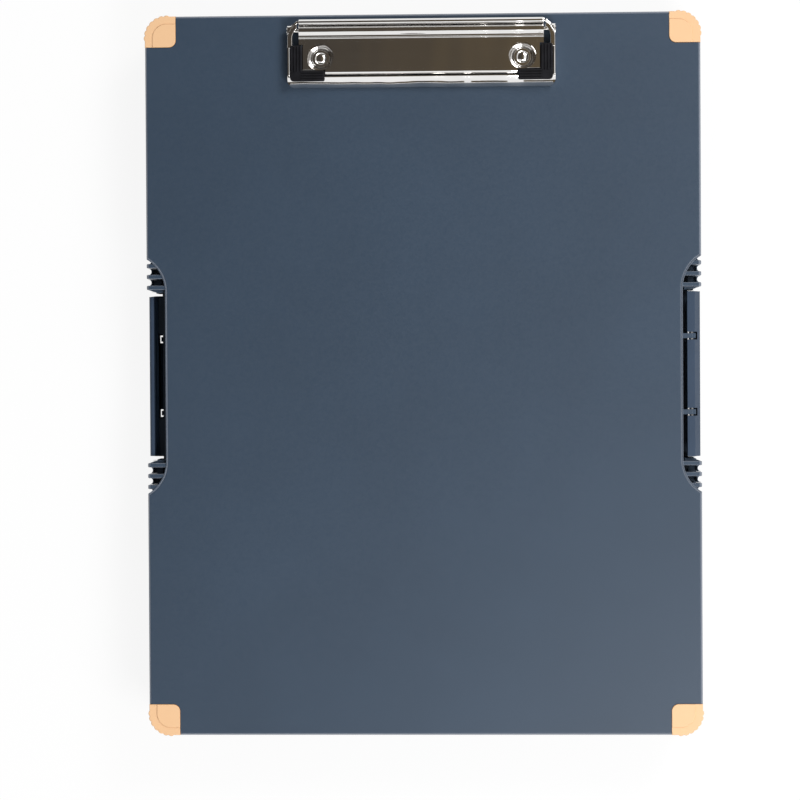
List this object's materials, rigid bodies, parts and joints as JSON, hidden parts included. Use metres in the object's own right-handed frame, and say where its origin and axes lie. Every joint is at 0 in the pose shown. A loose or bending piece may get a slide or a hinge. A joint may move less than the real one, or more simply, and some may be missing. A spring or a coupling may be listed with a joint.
{
  "type": "storage clipboard box",
  "caption": "Two-sided storage clipboard box: hinged covers on a middle frame, side latches, rubber corner bumpers and a low sprung paper clip on the front cover.",
  "frame": {"origin": "centre of the closed case's footprint, on the surface that its back bumpers rest on", "axes": "+Y along the case towards the clip, +X to the right as the front is looked at, +Z out of the front cover"},
  "size_m": [0.255, 0.3312, 0.0476],
  "materials": {
    "case_plastic": "fine-grained matte slate blue",
    "latch_plastic": "smooth satin slate blue",
    "bumper_rubber": "satin peach-orange rubber",
    "grip_rubber": "black ribbed rubber",
    "clip_chrome": "bright nickel chrome",
    "steel_wire": "drawn steel"
  },
  "bodies": {
    "back_cover": {"back_cover": "case_plastic", "back_hinge_pins": "steel_wire", "back_bumper_top_left": "bumper_rubber", "back_bumper_top_right": "bumper_rubber", "back_bumper_bottom_left": "bumper_rubber", "back_bumper_bottom_right": "bumper_rubber"},
    "middle_frame": {"middle_frame": "case_plastic", "divider_panel": "case_plastic", "front_hinge_pins": "steel_wire"},
    "front_cover": {"front_cover": "case_plastic", "front_latch_pins": "steel_wire", "front_bumper_top_left": "bumper_rubber", "front_bumper_top_right": "bumper_rubber", "front_bumper_bottom_left": "bumper_rubber", "front_bumper_bottom_right": "bumper_rubber", "clip_plate": "clip_chrome", "clip_rivets": "clip_chrome", "rivet_washers": "steel_wire", "clip_rod": "clip_chrome", "clip_springs": "steel_wire"},
    "front_latch": {"front_latch": "latch_plastic"},
    "back_latch": {"back_latch": "latch_plastic", "back_latch_pins": "steel_wire"},
    "clip_jaw": {"clip_jaw": "clip_chrome", "clip_grip_left": "grip_rubber", "clip_grip_right": "grip_rubber"}
  },
  "joints": [
    {"name": "back_hinge", "type": "hinge", "parent": "back_cover", "child": "middle_frame", "pos_m": [0.1241, 0, 0.0129], "axis": [0, 1, 0], "range_deg": [0, 110]},
    {"name": "front_hinge", "type": "hinge", "parent": "middle_frame", "child": "front_cover", "pos_m": [-0.1241, 0, 0.0261], "axis": [0, -1, 0], "range_deg": [0, 110]},
    {"name": "front_latch_hinge", "type": "hinge", "parent": "front_cover", "child": "front_latch", "pos_m": [0.1226, 0, 0.034], "axis": [0, -1, 0], "range_deg": [0, 90]},
    {"name": "back_latch_hinge", "type": "hinge", "parent": "back_cover", "child": "back_latch", "pos_m": [-0.1226, 0, 0.005], "axis": [0, -1, 0], "range_deg": [0, 90]},
    {"name": "clip_jaw_hinge", "type": "hinge", "parent": "front_cover", "child": "clip_jaw", "pos_m": [0, 0.1572, 0.0431], "axis": [-1, 0, 0], "range_deg": [0, 25], "stiffness_Nm_per_rad": 0.4, "springref_deg": -22.92, "deforming": ["clip_springs"]}
  ]
}
